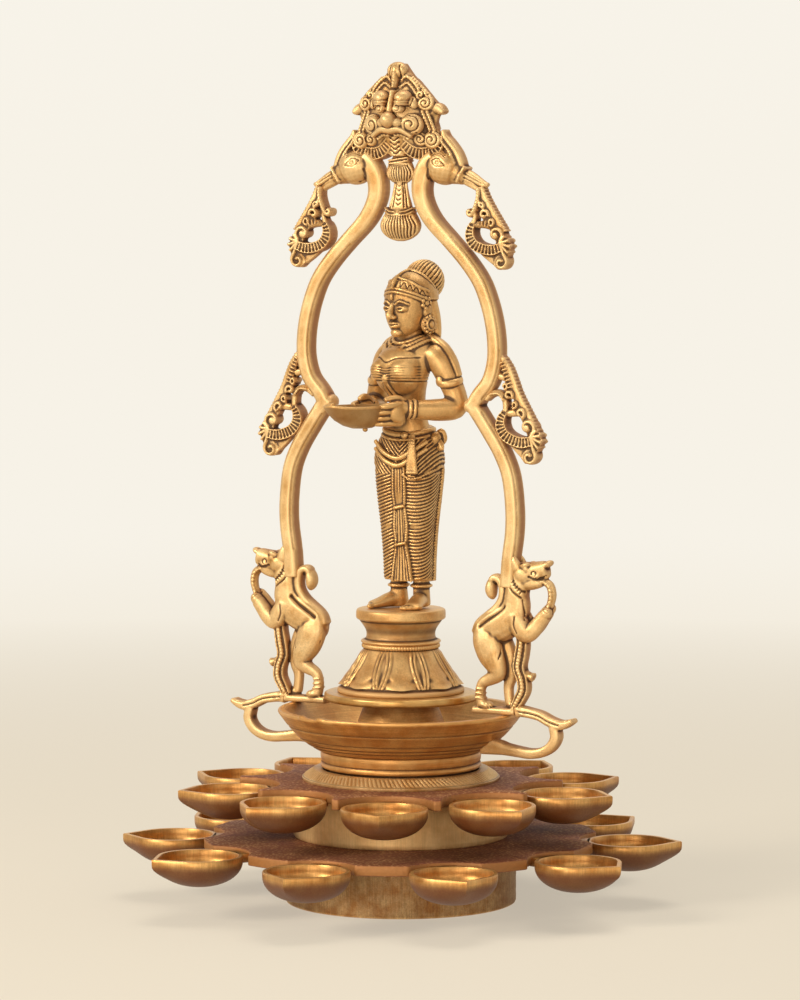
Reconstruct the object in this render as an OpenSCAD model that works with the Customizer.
// Brass lamp with a lady holding a lamp, an arch, an oil bowl and two swivelling tiers of spouted cups.
// Millimetres, +Z up, origin at the middle of the base.
// The lady faces -Y, turned a little to the side, and the arch stands in the XZ plane.

/* [Drums] */
// Outer radius of the base drum
base_drum_r = 65.5; // [50:0.5:75]
// Height of the base drum
base_drum_h = 31.5; // [24:0.5:50]
// Outer radius of the drum between the tiers
upper_drum_r = 61; // [45:0.5:64]
// Height of the drum between the tiers
upper_drum_h = 26.5; // [22:0.5:45]
// Wall of both drums
drum_wall = 4; // [2:0.5:8]

/* [Plates] */
// Thickness of both tier plates
plate_t = 6; // [4:0.5:9]
// Outer radius of the lower plate, at its teeth
lower_plate_r = 112; // [106:0.5:118]
// Outer radius of the upper plate, at its teeth
upper_plate_r = 92; // [84:0.5:96]

/* [Cups] */
// Cups on each tier
cup_count = 10; // [8:1:10]
// How far the lower cups' middles lie outside the lower plate's radius
lower_cup_reach = 17.6; // [14:0.2:20]
// How far the upper cups' middles lie outside the upper plate's radius
upper_cup_reach = 6.4; // [4:0.2:9]
// Turn of the first lower cup from +X, in degrees
lower_cup_turn = 21.7; // [0:0.1:36]
// Turn of the first upper cup from +X, in degrees
upper_cup_turn = 3.7; // [0:0.1:36]
// Outer radius of a cup's rim
cup_r = 24; // [20:0.2:26]
// From a cup's middle to the tip of its spout
cup_spout = 30; // [28:0.2:34]
// Depth of a cup, from the rim to its underside
cup_depth = 15; // [12:0.2:20]
// Wall of a cup
cup_wall = 2.6; // [1.6:0.1:4]
// Height of the filed edge round a cup's rim
cup_lip = 3; // [2:0.1:4]
// Width of the tang that joins a cup to its plate
tang_w = 16; // [10:0.5:22]
// Thickness of the tang
tang_t = 5; // [3:0.2:7]
// Space between a cup and the scallop cut for it
scallop_gap = 4; // [2:0.2:6]
// How deep the tang is let into the plate
tang_seat = 0.6; // [0.4:0.1:2]
// How far the lower cups' rims lie below the top of their plate
lower_cup_drop = 1.5; // [0:0.1:3]
// How far the upper cups' rims lie below the top of their plate
upper_cup_drop = 3; // [0:0.1:4]

/* [Rope collar] */
// Outer radius of the collar
collar_r = 56; // [52:0.5:60]
// Width of the collar
collar_w = 8; // [6:0.5:10]
// Height of the collar's plain band
collar_band_h = 3; // [2:0.1:4]
// Radius of the rope moulding
rope_r = 2.4; // [1.6:0.1:3]

/* [Oil bowl] */
// Radius of the spigot that stands inside the collar
spigot_r = 40; // [30:0.5:44]
// Height of the spigot
spigot_h = 7; // [5.5:0.1:10]
// Outer radius of the foot ring
bowl_foot_r = 45.5; // [42:0.5:50]
// Height of the foot ring
bowl_foot_h = 9; // [6:0.1:12]
// Outer radius of the rim
bowl_rim_r = 69.5; // [66:0.5:73]
// Height from the foot ring's top to the rim
bowl_flare_h = 24; // [20:0.5:28]
// Width of the flat rim
bowl_rim_w = 4; // [3:0.2:5]
// Height of the floor above the plate that the bowl stands on
bowl_floor_h = 14.5; // [13.5:0.1:16]
// Radius of the flat floor
bowl_floor_r = 36; // [33:0.5:38]

/* [Cone and drip disc] */
// Radius of the cone at the floor of the bowl
cone_foot_r = 31; // [26:0.5:33]
// Radius of the cone under the disc
cone_top_r = 20; // [14:0.5:24]
// Height of the cone
cone_h = 30.5; // [28:0.5:36]
// Radius of the drip disc
disc_r = 43.5; // [40:0.5:48]
// Thickness of the drip disc
disc_t = 4.5; // [3:0.1:6]
// Radius of the disc's rounded edge
disc_round = 1.4; // [0.4:0.1:1.5]

/* [Lotus pedestal] */
// Radius of the plinth
plinth_r = 36; // [33:0.5:40]
// Height of the plinth
plinth_h = 4.5; // [3:0.1:7]
// Height of the petals above the plinth
petal_h = 22; // [18:0.5:28]
// Number of petals
petal_count = 8; // [6:1:12]
// How far a petal stands out from the pedestal
petal_t = 1.5; // [0.8:0.1:2.5]
// Radius of the pedestal where the petals end
waist_r = 21; // [18:0.5:24]
// Radius of the beaded moulding's section
bead_ring_r = 2.4; // [1.6:0.1:3]
// Radius of the hollow neck
neck_r = 19.5; // [16:0.5:21]
// Height of the hollow neck
neck_h = 10; // [7:0.5:14]
// Radius of the top disc
top_r = 24.6; // [22:0.2:28]
// Thickness of the top disc
top_t = 6.2; // [4:0.2:9]

/* [Tie rod] */
// Radius of the rod
rod_r = 4; // [3:0.1:5]
// Radial clearance of the rod in every bore
rod_clear = 0.1; // [0.05:0.01:0.1]
// How far the rod reaches into the pedestal
rod_grip = 16; // [10:0.5:20]
// Rod left bare below the nut
rod_tail = 3; // [1:0.5:5]
// Width across the flats of the nut
nut_af = 13; // [11:0.1:17]
// Height of the nut
nut_h = 6.5; // [5:0.1:8]
// Outer radius of the washer
washer_r = 12; // [9:0.5:16]
// Thickness of the washer
washer_t = 2; // [1:0.1:3]

/* [Arch] */
// Height of the arch above the bowl's rim
arch_h = 362; // [345:1:380]
// Width of a swan-neck stem, seen from the front
stem_w = 7.6; // [6:0.1:9]
// Depth of a stem
stem_d = 11; // [8:0.2:14]
// Depth of the four scrolls
scroll_d = 9; // [6:0.2:12]
// Depth of the lion mask's plate
mask_d = 8; // [6:0.2:12]
// Width of the mask's tongue, which the tassel hangs from
tongue_w = 9; // [8:0.1:12]
// Depth of the rampant lions' straps, tails and feet
lion_d = 10; // [8:0.2:13]
// Height of the plate that a lion stands on
lion_foot_h = 4.5; // [3:0.1:6]
// Half the length of that plate
lion_foot_half = 13; // [12:0.2:15]
// Distance of that plate's middle from the axis
lion_foot_x = 60; // [58:0.2:62]
// Depth of the bowl's handles
handle_d = 9; // [6:0.2:12]

/* [Lady] */
// Height of the lady above her pedestal
lady_h = 196.5; // [175:0.5:200]
// Turn of the lady and her pedestal to the side, in degrees
lady_turn = 18; // [0:1:25]
// Shift of the lady to her left, from the middle of her pedestal
lady_x = 1.5; // [0:0.5:2]
// Shift of the lady to the back, from the middle of her pedestal
lady_y = 5; // [3:0.5:6]
// Turn of her legs against her body, in degrees
legs_turn = 20; // [0:1:20]
// Radius of the tenons under her feet
tenon_r = 2.5; // [1.5:0.1:3]
// Length of the tenons
tenon_h = 4; // [2:0.1:4.5]
// Clearance round the tenons
tenon_clear = 0.15; // [0.1:0.05:0.3]
// Length of the lamp in her hands
hand_lamp_len = 48; // [44:0.5:54]
// Width of the lamp in her hands
hand_lamp_w = 25; // [22:0.5:28]
// Depth of the lamp in her hands
hand_lamp_h = 13; // [10:0.2:16]
// Wall of the lamp in her hands
hand_lamp_wall = 2; // [1.4:0.1:3]

/* [Hidden] */
$fn = 80;
brass = "#C08A3E";
dark_brass = "#8A5F32";
turned_brass = "#B77A34";
steel = "#8C8880";

// Heights of the stack, from the base up
lower_plate_z = base_drum_h;
upper_drum_z = lower_plate_z + plate_t;
upper_plate_z = upper_drum_z + upper_drum_h;
bowl_z = upper_plate_z + plate_t;
bowl_h = spigot_h + bowl_foot_h + bowl_flare_h;
rim_z = bowl_z + bowl_h;
cone_z = bowl_z + bowl_floor_h;
disc_z = cone_z + cone_h;
pedestal_z = disc_z + disc_t;
waist_z = plinth_h + petal_h;
neck_z = waist_z + 2 * bead_ring_r;
pedestal_h = neck_z + neck_h + top_t;
lady_z = pedestal_z + pedestal_h;
bore_r = rod_r + rod_clear;
nut_z = lower_plate_z - washer_t - nut_h;
tang_len = scallop_gap + tang_seat;
lower_cup_ring = lower_plate_r + lower_cup_reach;
upper_cup_ring = upper_plate_r + upper_cup_reach;
petal_root = 0.8;
cuts = 1;

// The arch's points are drawn with the mask's foot 312 above the rim, and the mask is 50 high
mask_h = 50;
drawn_mask_z = 312;
arch_k = (arch_h - mask_h) / drawn_mask_z;
mask_z = rim_z + drawn_mask_z * arch_k;

// The lady's points are drawn for a height of 192.5
drawn_lady_h = 192.5;
lady_k = lady_h / drawn_lady_h;
foot_x = 7.2;
foot_y = -3;

function two_digits(i) = str(i < 10 ? "0" : "", i);
function cup_names(tier) = [for (i = [1 : cup_count]) str(tier, "_cup_", two_digits(i))];

// Curves

// A point between b and c on the smooth curve through a, b, c and d
function curve_point(a, b, c, d, t) =
    (2 * b + (c - a) * t + (2 * a - 5 * b + 4 * c - d) * t * t + (3 * b - a - 3 * c + d) * t * t * t) / 2;

// The smooth curve through a list of points, with a number of steps between neighbours
function smooth(p, steps) = concat(
    [for (i = [0 : len(p) - 2], k = [0 : steps - 1])
        curve_point(p[max(i - 1, 0)], p[i], p[i + 1], p[min(i + 2, len(p) - 1)], k / steps)],
    [p[len(p) - 1]]
);

function unit(v) = v / norm(v);
function place(p) = [p[0], p[1], p[2]];
function heading(path, i) = unit(place(path[min(i + 1, len(path) - 1)]) - place(path[max(i - 1, 0)]));

// One ring of a sweep: path points hold x, y, z, half the width and half the depth
function sweep_ring(path, i, sides, up) =
    let (t = heading(path, i), s = unit(cross(t, up)), w = cross(s, t))
    [for (k = [0 : sides - 1])
        place(path[i]) + s * path[i][3] * cos(360 * k / sides) + w * path[i][4] * sin(360 * k / sides)];

// A round bar of changing section along a path
module sweep(path, sides = 10, up = [0, 1, 0]) {
    last = len(path) - 1;
    points = [for (i = [0 : last]) each sweep_ring(path, i, sides, up)];
    walls = [for (i = [0 : last - 1], k = [0 : sides - 1])
        let (a = i * sides + k, b = i * sides + (k + 1) % sides)
        each [[a, b, a + sides], [b, b + sides, a + sides]]];
    near_cap = [for (k = [sides - 1 : -1 : 0]) k];
    far_cap = [for (k = [0 : sides - 1]) last * sides + k];
    polyhedron(points, concat(walls, [near_cap, far_cap]), convexity = 8);
}

// A path in the arch's plane, from points of x, z, half the width and half the depth
function in_arch(p) = [for (q = p) [q[0], 0, q[1] * arch_k, q[2], q[3]]];

// Points of x, z and radius in the arch's plane, drawn out to the arch's height
function tall(p) = [for (q = p) [q[0], q[1] * arch_k, q[2]]];

// A flat band through points of x, z and radius, seen from the front
module band_plan(points, steps) {
    p = smooth(points, steps);
    for (i = [0 : len(p) - 2]) {
        hull() {
            translate([p[i][0], p[i][1]]) circle(p[i][2], $fn = 10);
            translate([p[i + 1][0], p[i + 1][1]]) circle(p[i + 1][2], $fn = 10);
        }
    }
}

// A front view made into a casting that lies evenly about the arch's plane
module casting(depth) {
    rotate([90, 0, 0]) translate([0, 0, -depth / 2]) linear_extrude(depth) children();
}

// A flat band as a casting of its own
module band(points, depth, steps = 2) {
    casting(depth) band_plan(points, steps);
}

// A ball with a radius of its own along each axis
module pebble(p, r) {
    translate(p) scale(r) sphere(1, $fn = 10);
}

// A joint between two balls of x, y, z and radius
module link(a, b) {
    hull() {
        translate(place(a)) sphere(a[3], $fn = 6);
        translate(place(b)) sphere(b[3], $fn = 6);
    }
}

// Tiers

module drum(r, h) {
    rotate_extrude() polygon([[r - drum_wall, 0], [r - 1, 0], [r, 1], [r, h], [r - drum_wall, h]]);
}

module base_drum() {
    color(turned_brass) drum(base_drum_r, base_drum_h);
}

module upper_drum() {
    color(turned_brass) translate([0, 0, upper_drum_z]) drum(upper_drum_r, upper_drum_h);
}

function cup_angle(turn, i) = turn + 360 * (i - 1) / cup_count;

module plate(r, ring, turn) {
    linear_extrude(plate_t) difference() {
        circle(r);
        circle(bore_r);
        for (i = [1 : cup_count]) {
            rotate(cup_angle(turn, i)) {
                translate([ring, 0]) circle(cup_r + scallop_gap);
                translate([ring - cup_r - tang_len, -tang_w / 2]) square([cup_r, tang_w]);
            }
        }
    }
}

module lower_plate() {
    color(dark_brass) translate([0, 0, lower_plate_z]) plate(lower_plate_r, lower_cup_ring, lower_cup_turn);
}

module upper_plate() {
    color(dark_brass) translate([0, 0, upper_plate_z]) plate(upper_plate_r, upper_cup_ring, upper_cup_turn);
}

// Seen from above, a round rim drawn out to the tip of a spout
module cup_plan(r, reach) {
    circle(r);
    polygon([
        [reach, 0],
        [r * r / reach, r * sqrt(1 - pow(r / reach, 2))],
        [r * r / reach, -r * sqrt(1 - pow(r / reach, 2))]
    ]);
}

// Half section of a cup's bulk: a round belly below, and a shelf under the spout
module cup_section(belly_r, belly_z, r, reach, shelf, shelf_tip) {
    intersection() {
        translate([0, belly_z]) circle(belly_r);
        translate([0, belly_z - belly_r]) square([belly_r, belly_r - belly_z]);
    }
    polygon([[0, -shelf], [r, -shelf], [reach, -shelf_tip], [reach, 0], [0, 0]]);
}

// One spouted cup, its rim at z = 0 and its spout along +X
module cup() {
    belly_r = (pow(cup_r, 2) + pow(cup_depth - cup_lip, 2)) / (2 * (cup_depth - cup_lip));
    belly_z = belly_r - cup_depth;
    inner_r = cup_r - cup_wall;
    inner_reach = cup_spout - 1.3 * cup_wall;
    difference() {
        union() {
            intersection() {
                translate([0, 0, -cup_depth]) linear_extrude(cup_depth) cup_plan(cup_r, cup_spout);
                rotate_extrude() cup_section(belly_r, belly_z, cup_r, cup_spout + cuts, cup_lip, cup_lip / 3);
            }
            translate([-cup_r - tang_len, -tang_w / 2, -tang_t])
                cube([tang_len + 2 * cup_wall, tang_w, tang_t]);
        }
        intersection() {
            translate([0, 0, -cup_depth]) linear_extrude(cup_depth + cuts) cup_plan(inner_r, inner_reach);
            union() {
                rotate_extrude()
                    cup_section(belly_r - cup_wall, belly_z, inner_r, inner_reach, cup_lip / 2, cup_lip / 5);
                cylinder(h = cuts, r = cup_spout);
            }
        }
    }
}

module cup_at(ring, turn, i, z) {
    color(brass) translate([0, 0, z]) rotate(cup_angle(turn, i)) translate([ring, 0, 0]) cup();
}

module lower_cup(i) {
    cup_at(lower_cup_ring, lower_cup_turn, i, lower_plate_z + plate_t - lower_cup_drop);
}

module upper_cup(i) {
    cup_at(upper_cup_ring, upper_cup_turn, i, upper_plate_z + plate_t - upper_cup_drop);
}

module rope_collar() {
    color(turned_brass) translate([0, 0, bowl_z]) rotate_extrude() {
        translate([collar_r - collar_w, 0]) square([collar_w, collar_band_h]);
        translate([collar_r - rope_r, collar_band_h]) circle(rope_r);
    }
}

// Tie rod

module tie_rod() {
    rod_z = nut_z - rod_tail;
    color(steel) translate([0, 0, rod_z]) cylinder(h = pedestal_z + rod_grip - rod_z, r = rod_r);
}

module rod_nut() {
    color(steel) translate([0, 0, nut_z]) difference() {
        cylinder(h = nut_h, r = nut_af / sqrt(3), $fn = 6);
        translate([0, 0, -cuts]) cylinder(h = nut_h + 2 * cuts, r = bore_r, $fn = 48);
    }
}

module rod_washer() {
    color(steel) translate([0, 0, nut_z + nut_h]) difference() {
        cylinder(h = washer_t, r = washer_r);
        translate([0, 0, -cuts]) cylinder(h = washer_t + 2 * cuts, r = bore_r);
    }
}

// Oil bowl and what stands in it

// The bowl's swelling side, from a foot of radius r0 at z0 to a rim of radius r1 at z1
function flare(r0, r1, z0, z1) = smooth([
    for (s = [[0, 0], [0.24, 0.15], [0.48, 0.33], [0.72, 0.6], [0.92, 0.88], [1, 1]])
        [r0 + (r1 - r0) * s[0], z0 + (z1 - z0) * s[1]]
], 3);

bowl_foot_top = spigot_h + bowl_foot_h;
bowl_outside = concat(
    [[spigot_r, 0], [spigot_r, spigot_h], [bowl_foot_r, spigot_h]],
    flare(bowl_foot_r, bowl_rim_r, bowl_foot_top, bowl_h - 2),
    [[bowl_rim_r, bowl_h]]
);

module bowl_bulk() {
    translate([0, 0, bowl_z]) rotate_extrude() polygon(concat([[0, 0]], bowl_outside, [[0, bowl_h]]));
}

module oil_bowl() {
    inside = flare(bowl_floor_r, bowl_rim_r - bowl_rim_w, bowl_floor_h, bowl_h);
    hollow = [for (i = [len(inside) - 1 : -1 : 0]) inside[i]];
    section = concat([[bore_r, 0]], bowl_outside, hollow, [[bore_r, bowl_floor_h]]);
    color(brass) translate([0, 0, bowl_z]) rotate_extrude() polygon(section);
}

module cone_spacer() {
    color(brass) translate([0, 0, cone_z]) difference() {
        cylinder(h = cone_h, r1 = cone_foot_r, r2 = cone_top_r);
        translate([0, 0, -cuts]) cylinder(h = cone_h + 2 * cuts, r = bore_r);
    }
}

module drip_disc() {
    color(brass) translate([0, 0, disc_z]) rotate_extrude() {
        translate([bore_r, 0]) square([disc_r - disc_round - bore_r, disc_t]);
        translate([bore_r, disc_round]) square([disc_r - bore_r, disc_t - 2 * disc_round]);
        for (z = [disc_round, disc_t - disc_round]) {
            translate([disc_r - disc_round, z]) circle(disc_round);
        }
    }
}

// The right handle: a ribbon that leaves the bowl low down, loops up and runs back to the lion's foot
module right_handle_form() {
    end_x = lion_foot_x + lion_foot_half;
    loop = [[end_x - 21, -18.5, 4], [end_x - 7, -19.5, 3.4], [end_x + 9, -21, 3.3], [end_x + 20, -18, 3.2],
        [end_x + 25.5, -11, 3], [end_x + 24, -5, 2.8]];
    leaf = [[end_x - 1, 1.4, 3.1], [end_x + 6, 2.2, 3], [end_x + 15, 0.8, 2.8], [end_x + 25, -3.4, 3],
        [end_x + 31, -3, 2.4], [end_x + 36, -0.6, 1.2]];
    translate([0, 0, rim_z]) difference() {
        casting(handle_d) {
            band_plan(loop, 2);
            band_plan(leaf, 2);
        }
        translate([lion_foot_x - lion_foot_half, -handle_d, 0])
            cube([2 * lion_foot_half, 2 * handle_d, 2 * lion_foot_h]);
    }
}

module handle(side) {
    color(brass) mirror([side, 0, 0]) difference() {
        right_handle_form();
        bowl_bulk();
    }
}

// Arch

// The right lion, reared up against the foot of the arch
module right_lion_form() {
    x = lion_foot_x;
    r = lion_d / 2;
    body = [[-13, 47, 2, 2], [-10.5, 47.5, 6.5, 5.5], [-4, 49, 8.4, r + 1], [4, 53, 8.6, r + 1.4],
        [10.5, 60, 8.2, r + 1], [11.5, 69, 6.4, r], [14, 76, 6, r], [17, 80, 5.4, r - 0.4]];
    head = [[12, 76, 4, r - 1], [16, 80.5, 7, r + 0.4], [21.5, 83, 6, r - 0.4], [27, 85.5, 4.4, r - 1.4],
        [31, 87, 3.2, r - 2], [33, 87.5, 1, 1]];
    thigh = [[-8, 47, 6.5, 4.4], [-4, 40, 7, 4.6], [1, 32, 5.6, 4], [1.5, 26, 4, 3.2], [-5, 20, 3, 2.8],
        [-8.5, 12, 2.7, 2.6], [-9, 5, 2.8, 2.8], [-8, 2, 3, 3]];
    far_leg = [[-2, 44, 6.4, 4.4], [5, 34, 6, 4.2], [8, 26, 4.4, 3.4], [5, 18, 3, 2.8], [8, 10, 2.7, 2.6],
        [9, 4, 3, 2.8], [10, 2, 3, 3]];
    arm = [[9, 56, 5, 4.4], [13, 48, 5.2, 4.4], [17.5, 45, 4.2, 3.8], [24, 49, 3.4, 3.2], [30, 56, 3.2, 3],
        [33, 60, 2, 2]];
    tail = [[-12, 48, 2.2], [-7, 57.5, 2.2], [0, 65, 2.2], [3.6, 72, 2.4], [1.5, 78, 2.8], [-2.5, 77, 3.2],
        [-2.8, 71.5, 2.6]];
    chain = [[29, 82, 1.8], [33.5, 73, 1.8], [32, 61, 1.8]];
    vine = [[17, 45, 2], [15.5, 32, 2.3], [19, 20, 2.6], [15.5, 12, 2.5], [8, 3.4, 2.2]];
    ear_y = 3.4;
    translate([0, 0, rim_z]) {
        translate([x - lion_foot_half, -lion_d / 2, 0]) cube([2 * lion_foot_half, lion_d, lion_foot_h]);
        translate([x, 0, 0]) {
            sweep(smooth(in_arch(body), 2), sides = 8);
            sweep(smooth(in_arch(head), 1), sides = 10);
            translate([0, -2, 0]) sweep(smooth(in_arch(thigh), 2), sides = 6);
            translate([0, 2, 0]) sweep(smooth(in_arch(far_leg), 2), sides = 6);
            translate([0, -2, 0]) sweep(smooth(in_arch(arm), 2), sides = 6);
            casting(lion_d / 2) {
                band_plan(tall(tail), 2);
                band_plan(tall(vine), 2);
            }
            band(tall(chain), lion_d / 3, 1);
            link([20, -1, 82 * arch_k, 3], [26, -1, 81 * arch_k, 2.4]);
            for (y = [-ear_y, ear_y]) {
                link([14, y, 85 * arch_k, 2.6], [13, y, 90 * arch_k, 1.2]);
            }
            link([24, 0, 24 * arch_k, 2.8], [18, 0, 25 * arch_k, 2]);
        }
    }
}

module lion(side) {
    color(brass) mirror([side, 0, 0]) right_lion_form();
}

// The right stem rises from the lion's back to a pinched waist, swells again and ends in a swan's head
module right_swan_form() {
    w = stem_w / 2;
    d = stem_d / 2;
    lower = [[67.5, 68, w, d], [69.5, 88, w, d], [71.4, 102, w, d], [71.6, 116, w, d], [69.4, 134, w, d],
        [64.2, 147, w, d], [57, 158.5, w + 0.4, d], [50.5, 168, w + 0.8, d], [45.6, 175, w, d]];
    upper = [[45.6, 171, w, d], [50.5, 179, w + 0.8, d], [56.8, 187, w + 0.4, d], [60, 198, w, d],
        [60.2, 209, w, d], [58.6, 220.5, w, d], [55.4, 232, w, d], [50.6, 243, w, d], [42.4, 254, w, d],
        [32, 265, w, d], [20.8, 276.5, w + 0.4, d], [14.6, 288, w + 0.8, d], [14, 298, w + 1, d],
        [17.5, 306, w + 1.6, d], [23, 309.5, w + 3, d]];
    head = [[19, 309.5, 3, 3], [22, 308.5, 7.4, d + 1], [27, 307, 9.4, d + 2.6], [33, 304.6, 9.4, d + 2.6],
        [39, 301.5, 6.8, d + 0.6], [43, 299.6, 4.8, d - 1], [47, 297.6, 3.8, d - 1.6],
        [52, 295.4, 2.4, d - 2.6], [55, 294.4, 0.8, 0.8]];
    crest = [[39, 307, 2], [36, 313, 2.8], [33, 317.5, 3], [31, 322, 2.4], [31.6, 327, 1.2]];
    translate([0, 0, rim_z]) {
        sweep(smooth(in_arch(lower), 2), sides = 8);
        sweep(smooth(in_arch(upper), 2), sides = 8);
        sweep(smooth(in_arch(head), 1), sides = 12);
        band(tall(crest), mask_d + 1);
    }
}

module swan_stem(side) {
    color(brass) mirror([side, 0, 0]) difference() {
        right_swan_form();
        right_lion_form();
    }
}

// The part that every scroll shares, from the top of its ribbed half-round band
module scroll_fan() {
    ribbed = [[0, 1.5, 2.2], [-1.8, -4.6, 2.9], [0.6, -9.8, 2.9], [5.6, -13.2, 2.9], [12, -13.8, 2.9],
        [18, -12.8, 2.6]];
    curl = [[9.5, -4.8, 1], [12.8, -3.4, 1.6], [15.4, -5.6, 1.8], [14.6, -8.6, 1.8], [18.6, -10.4, 2.6]];
    leaves = [[16.6, -4.4, 2], [20.6, -7.4, 3], [22.8, -11, 3], [22.4, -15.2, 2.8], [19.6, -17.4, 2.4]];
    foot_curl = [[19.5, -15.5, 2.4], [19.6, -19.6, 2.2], [16.4, -22.4, 2], [13.2, -20.6, 1.7],
        [14.6, -18.2, 1.2]];
    band_plan(ribbed, 2);
    band_plan(curl, 2);
    band_plan(leaves, 2);
    band_plan(foot_curl, 2);
}

// The right upper scroll hangs from the swan's beak and leans on the stem
module right_upper_scroll_form() {
    stalk = [[48.6, 297, 2], [47.6, 289, 2], [46, 284.4, 2], [42.4, 281.6, 1.9], [40.2, 279, 1.8],
        [42.6, 277.4, 1.4]];
    back_edge = [[48, 290, 1.8], [51.4, 284, 2.2], [55, 276, 2.6], [60, 270.5, 2.6], [63.5, 268, 2.4]];
    side_leaf = [[47, 285, 1.6], [45.6, 277, 1.8], [44.6, 272, 2]];
    cross_leaf = [[45, 272.6, 1.6], [50, 273.4, 2], [55.5, 274.4, 2]];
    translate([0, 0, rim_z]) casting(scroll_d) {
        band_plan(tall(stalk), 2);
        band_plan(tall(back_edge), 2);
        band_plan(tall(side_leaf), 1);
        band_plan(tall(cross_leaf), 1);
        translate([44.4, 271.2 * arch_k]) scroll_fan();
    }
}

// The right lower scroll hangs outside the stem's waist
module right_lower_scroll_form() {
    back_edge = [[63.4, 200.5, 1.2], [67, 194, 3], [70.4, 186, 2.6], [72.6, 178.5, 2.2], [75.4, 171.5, 2.6],
        [80, 165, 2.6], [83, 160, 2.4]];
    stalk = [[55, 177.5, 2], [59.6, 179.6, 2.2], [64.6, 179, 2], [66.4, 174.6, 1.8], [65, 168, 2]];
    cross_leaf = [[65, 168.4, 1.6], [70.6, 169, 2], [75.4, 170, 2]];
    translate([0, 0, rim_z]) casting(scroll_d) {
        band_plan(tall(back_edge), 2);
        band_plan(tall(stalk), 2);
        band_plan(tall(cross_leaf), 1);
        translate([64.6, 165.8 * arch_k]) rotate(5) scroll_fan();
    }
}

module upper_scroll(side) {
    color(brass) mirror([side, 0, 0]) difference() {
        right_upper_scroll_form();
        right_swan_form();
    }
}

module lower_scroll(side) {
    color(brass) mirror([side, 0, 0]) difference() {
        right_lower_scroll_form();
        right_swan_form();
    }
}

// Lion mask at the top of the arch, its lower edge at z = 0
module mask_form() {
    front = -mask_d / 2;
    horn = [[2.4, 32, 3], [8, 36.5, 4], [14, 37, 4], [18.5, 32, 3.4], [19.5, 27, 2]];
    side_curl = [[17, 34, 2.4], [23, 31, 2.6], [27, 25.5, 2.6], [25.4, 20.5, 2], [22, 22, 1.6]];
    fringe = [[2, 5, 3], [10, 3.4, 3.2], [17.5, 4, 3.4], [23, 8.6, 2.8], [25.5, 15, 1.6]];
    casting(mask_d) {
        hull() {
            translate([0, 43]) circle(7, $fn = 16);
            for (x = [-17, 17]) {
                translate([x, 15]) circle(7, $fn = 16);
            }
        }
        translate([-tongue_w / 2, 0]) square([tongue_w, 10]);
        for (side = [0, 1]) {
            mirror([side, 0]) {
                band_plan(side_curl, 2);
                band_plan(fringe, 2);
            }
        }
    }
    pebble([0, front, 45], [6, 4, 5]);
    pebble([0, front - 1.5, 19], [4.6, 4.4, 6.4]);
    pebble([0, front, 11], [9, 3.4, 3.4]);
    for (side = [0, 1]) {
        mirror([side, 0, 0]) {
            band(horn, mask_d + 3);
            pebble([8.4, front - 1, 26.4], [4.6, 4, 4.6]);
            pebble([9.6, front, 14.6], [5.4, 3.6, 5]);
        }
    }
}

module lion_mask() {
    color(brass) difference() {
        translate([0, 0, mask_z]) mask_form();
        right_swan_form();
        mirror([1, 0, 0]) right_swan_form();
    }
}

// Two fluted bells below the mask, the lower one wedged between the swans' necks
module tassel_form() {
    flutes = 9;
    sides = 3 * flutes;
    flatness = 0.55;
    outline = [[0, 3.8], [-2, 5], [-3.4, 6.6], [-9, 7.8], [-13.6, 8.4], [-15.6, 4.6], [-22, 4.6], [-29, 6],
        [-30.6, 8], [-35.6, 11], [-40, 12.4], [-44.6, 10.4], [-47.5, 5]];
    function flute(a) = 1 + 0.05 * cos(flutes * a);
    rings = [for (s = outline) [for (k = [0 : sides - 1]) let (a = 360 * k / sides)
        [s[1] * flute(a) * cos(a), flatness * s[1] * flute(a) * sin(a), s[0]]]];
    last = len(outline) - 1;
    walls = [for (i = [0 : last - 1], k = [0 : sides - 1])
        let (a = i * sides + k, b = i * sides + (k + 1) % sides)
        each [[a, b, a + sides], [b, b + sides, a + sides]]];
    top = [for (k = [sides - 1 : -1 : 0]) k];
    bottom = [for (k = [0 : sides - 1]) last * sides + k];
    polyhedron([for (r = rings) each r], concat(walls, [top, bottom]), convexity = 6);
}

module mask_tassel() {
    color(brass) difference() {
        translate([0, 0, mask_z]) tassel_form();
        right_swan_form();
        mirror([1, 0, 0]) right_swan_form();
    }
}

// Lotus pedestal

// The slope under the petals runs straight from the plinth to the waist
petal_foot_r = plinth_r - petal_t - 1;

// One petal, seen from the front: broad below with a pointed tip, narrow above
module petal_plan() {
    half = 3.14 * (plinth_r - petal_t) / petal_count;
    right = smooth([[0, -petal_root / 2], [half * 0.5, 1.4], [half * 0.88, petal_h * 0.24],
        [half * 0.68, petal_h * 0.6], [half * 0.5, petal_h - petal_root]], 3);
    polygon(concat(right, [for (i = [len(right) - 1 : -1 : 1]) [-right[i][0], right[i][1]]]));
}

module petal() {
    intersection() {
        translate([0, 0, plinth_h - petal_root])
            cylinder(h = petal_h + petal_root, r1 = petal_foot_r + petal_t, r2 = waist_r + petal_t);
        translate([0, 0, plinth_h]) rotate([90, 0, 0]) translate([0, 0, waist_r / 2])
            linear_extrude(2 * plinth_r) petal_plan();
    }
}

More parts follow.
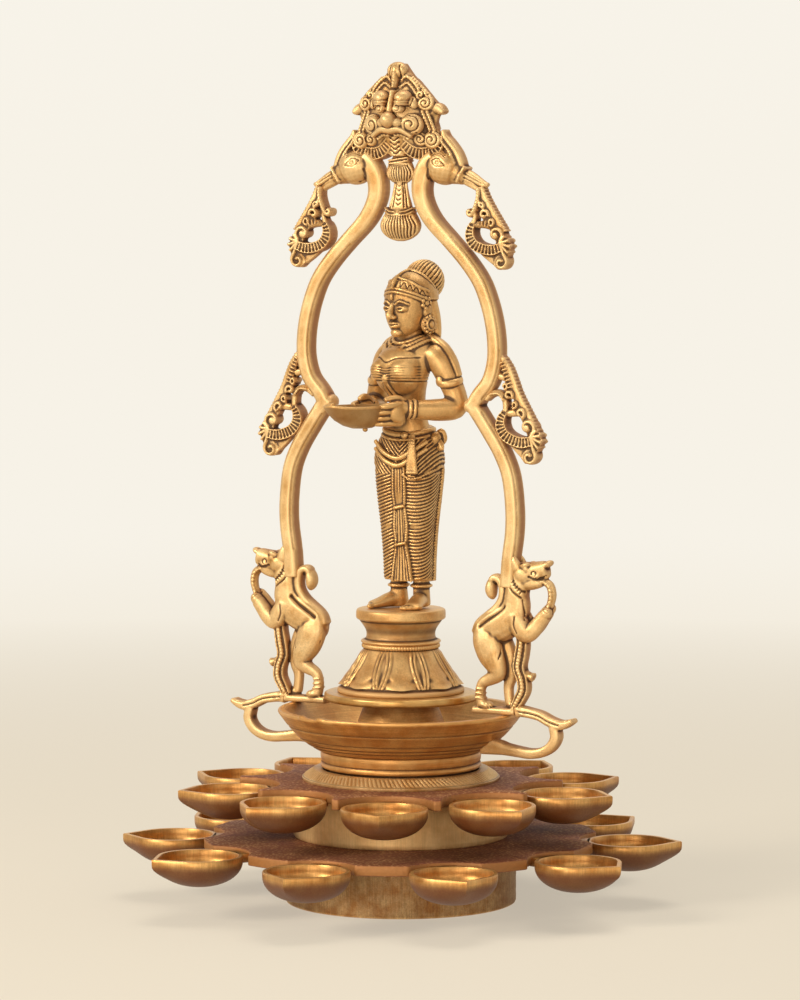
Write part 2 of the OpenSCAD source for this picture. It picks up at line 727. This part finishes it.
module lotus_pedestal() {
    top_z = neck_z + neck_h;
    edge = 0.8;
    neck_curve = smooth([[waist_r, neck_z], [neck_r, neck_z + neck_h * 0.3],
        [neck_r + 0.6, neck_z + neck_h * 0.65], [top_r - 1, top_z]], 3);
    section = concat(
        [[0, 0], [plinth_r, 0], [plinth_r, plinth_h], [petal_foot_r, plinth_h], [waist_r, waist_z]],
        neck_curve,
        [[top_r, top_z + edge], [top_r, pedestal_h - edge], [top_r - edge, pedestal_h], [0, pedestal_h]]
    );
    color(brass) translate([0, 0, pedestal_z]) rotate(-lady_turn) difference() {
        union() {
            rotate_extrude() polygon(section);
            rotate_extrude() translate([waist_r - 0.6, waist_z + bead_ring_r]) circle(bead_ring_r);
            for (i = [0 : petal_count - 1]) {
                rotate(360 * i / petal_count) petal();
            }
        }
        translate([0, 0, -cuts]) cylinder(h = rod_grip + cuts, r = bore_r);
        for (x = [-foot_x, foot_x]) {
            translate([lady_x, lady_y, pedestal_h - tenon_h]) at_foot(x)
                cylinder(h = tenon_h + cuts, r = tenon_r + tenon_clear);
        }
    }
}

// Lady

module at_lady() {
    translate([0, 0, lady_z]) rotate(-lady_turn) translate([lady_x, lady_y, 0]) children();
}

// Under one of her feet, from her own middle
module at_foot(x) {
    rotate(legs_turn) translate([x * lady_k, foot_y * lady_k, 0]) children();
}

// A body section list of z, middle y, half width and half depth, made into a sweep path at x
function upright(x, p) = [for (q = p) [x, q[1], q[0], q[2], q[3]]];

module foot(x) {
    side = x < 0 ? -1 : 1;
    difference() {
        union() {
            link([x, foot_y + 6, 3, 4.4], [x + side, foot_y - 6, 2, 3.6]);
            for (toe = [-1 : 1]) {
                link([x + side, foot_y - 5, 1.6, 2.6],
                    [x + side + toe * 2.8, foot_y - 12 + 0.6 * abs(toe), 1.2, 2]);
            }
        }
        translate([x - 10, foot_y - 20, -5]) cube([20, 40, 5]);
    }
}

// The tenon under a foot, from inside the foot down into the pedestal
module tenon(x) {
    root = 2;
    at_foot(x) translate([0, 0, -tenon_h]) cylinder(h = tenon_h + root, r = tenon_r, $fn = 24);
}

module leg(x) {
    sweep(smooth(upright(x, [[2, 0, 3.6, 4.2], [14, 0, 4.4, 5], [15.6, 0, 7.2, 8.4], [30, -0.4, 7.8, 9],
        [46, -1, 8.8, 10], [62, -1, 10.4, 11.8], [76, 0, 11.8, 13.4], [90, 0.6, 8.4, 11]]), 1), sides = 10);
}

module torso() {
    sweep(smooth(upright(0, [[70, 0, 16, 11], [80, 1, 20, 14], [88, 1, 19.4, 13.6], [98, 0, 15, 11],
        [110, -1, 11.2, 8.8], [118, -1.6, 11.8, 9], [128, -3.6, 15, 11.6], [136, -2.8, 17, 11.4],
        [143, 0.6, 19, 9.4], [148.4, 1.2, 12, 7.4], [152, 1, 7.4, 6.6], [158, 0, 6.6, 6.2]]), 1), sides = 14);
    for (x = [-7.6, 7.6]) {
        pebble([x, -11.2, 132.4], [8.2, 8.6, 7.4]);
    }
}

module head() {
    sweep(smooth(upright(0, [[151, -6, 2, 2], [153, -5, 6, 6], [160, -1.6, 11, 11.4],
        [168, 0.8, 13.2, 14], [176, 2.4, 13.8, 15], [183, 3.4, 10.4, 11.6],
        [187, 4, 3, 3]]), 1), sides = 12);
    pebble([0, 15, 180.5], [11.6, 11.2, 12]);
    link([0, -11.6, 166, 1], [0, -13.2, 160.6, 1.8]);
    for (x = [-12, 12]) {
        pebble([x, 1.6, 158.6], [3.8, 4.2, 4.4]);
    }
}

// An arm bent at the elbow, from the shoulder to the hand that holds the lamp
module arm(side, hand) {
    elbow = side * 28;
    sweep(smooth([[side * 14, 1.6, 142.5, 5.6, 6.2], [side * 20.5, 3.4, 139, 6, 6.4],
        [side * 24.6, 6.6, 128, 5.8, 5.9], [side * 28, 9.2, 117, 5.5, 5.5], [elbow, 7, 111, 5.5, 5.5],
        [(elbow + hand[0]) / 2, (4 + hand[1]) / 2, 110.8, 5.2, 5.2],
        [hand[0], hand[1], hand[2], 4.2, 4]], 2), sides = 8, up = [0.1, 0.2, 1]);
    for (finger = [0 : 2]) {
        y = hand[1] - 0.6 - 3.6 * finger;
        link([hand[0], y, hand[2] + 0.5, 2.5], [hand[0] - side * 4.5, y - 2, hand[2] - 5 - finger, 1.8]);
    }
    link([hand[0], hand[1] - 3, hand[2] + 1, 2.1], [hand[0] - side * 1.5, hand[1] - 9, hand[2] + 3.6, 1.6]);
}

hand_lamp_z = 114 * lady_k;
hand_lamp_y = -38 * lady_k;

module centre_pleat() {
    for (x = [-2.4, 2.4]) {
        link([x, -13, 88, 3], [x * 0.7, -12, 24, 2.2]);
    }
    link([0, -10.5, 96, 4], [0, -13, 84, 4]);
}

module figure() {
    rotate(legs_turn) {
        for (x = [-foot_x, foot_x]) {
            foot(x);
            leg(x);
        }
        centre_pleat();
    }
    torso();
    head();
    arm(1, [12.4, -22, 111.5]);
    arm(-1, [-12.4, -24, 111.5]);
}

module lady_figure() {
    color(brass) at_lady() difference() {
        union() {
            scale(lady_k) figure();
            for (x = [-foot_x, foot_x]) {
                tenon(x);
            }
        }
        hand_lamp_bulk();
    }
}

// Outside of the hand-held lamp: a deep leaf with its tip to the front
module hand_lamp_bulk() {
    translate([0, hand_lamp_y, hand_lamp_z]) hand_lamp_shell(0);
}

module hand_lamp_shell(inset) {
    half = hand_lamp_len / 2 - 1.6 * inset;
    w = hand_lamp_w / 2 - inset;
    bottom = hand_lamp_h - inset;
    hull() {
        translate([0, 0, -0.1]) linear_extrude(0.1 + 4 * inset) polygon([for (k = [0 : 23]) let (a = 15 * k)
            [w * sin(a) * (1 + 0.25 * cos(a)), -half * cos(a)]]);
        translate([0, 3, 2 - bottom]) scale([w * 0.55, half * 0.5, 1]) cylinder(h = 0.1, r = 1, $fn = 16);
        translate([0, 2, 0.55 * (4 - bottom)]) scale([w * 0.9, half * 0.78, 1])
            cylinder(h = 0.1, r = 1, $fn = 16);
        translate([0, 4, -bottom]) scale([w * 0.3, half * 0.3, 1]) cylinder(h = 0.1, r = 1, $fn = 12);
    }
}

module hand_lamp() {
    color(brass) at_lady() difference() {
        hand_lamp_bulk();
        translate([0, hand_lamp_y, hand_lamp_z]) hand_lamp_shell(hand_lamp_wall);
    }
}

base_drum();
lower_plate();
tie_rod();
rod_nut();
rod_washer();
for (i = [1 : cup_count]) lower_cup(i);
upper_drum();
upper_plate();
rope_collar();
for (i = [1 : cup_count]) upper_cup(i);
oil_bowl();
handle(1);  // left_handle
handle(0);  // right_handle
cone_spacer();
drip_disc();
lion(1);  // left_lion
lion(0);  // right_lion
swan_stem(1);  // left_swan_stem
swan_stem(0);  // right_swan_stem
upper_scroll(1);  // left_upper_scroll
upper_scroll(0);  // right_upper_scroll
lower_scroll(1);  // left_lower_scroll
lower_scroll(0);  // right_lower_scroll
lion_mask();
mask_tassel();
lotus_pedestal();
lady_figure();
hand_lamp();
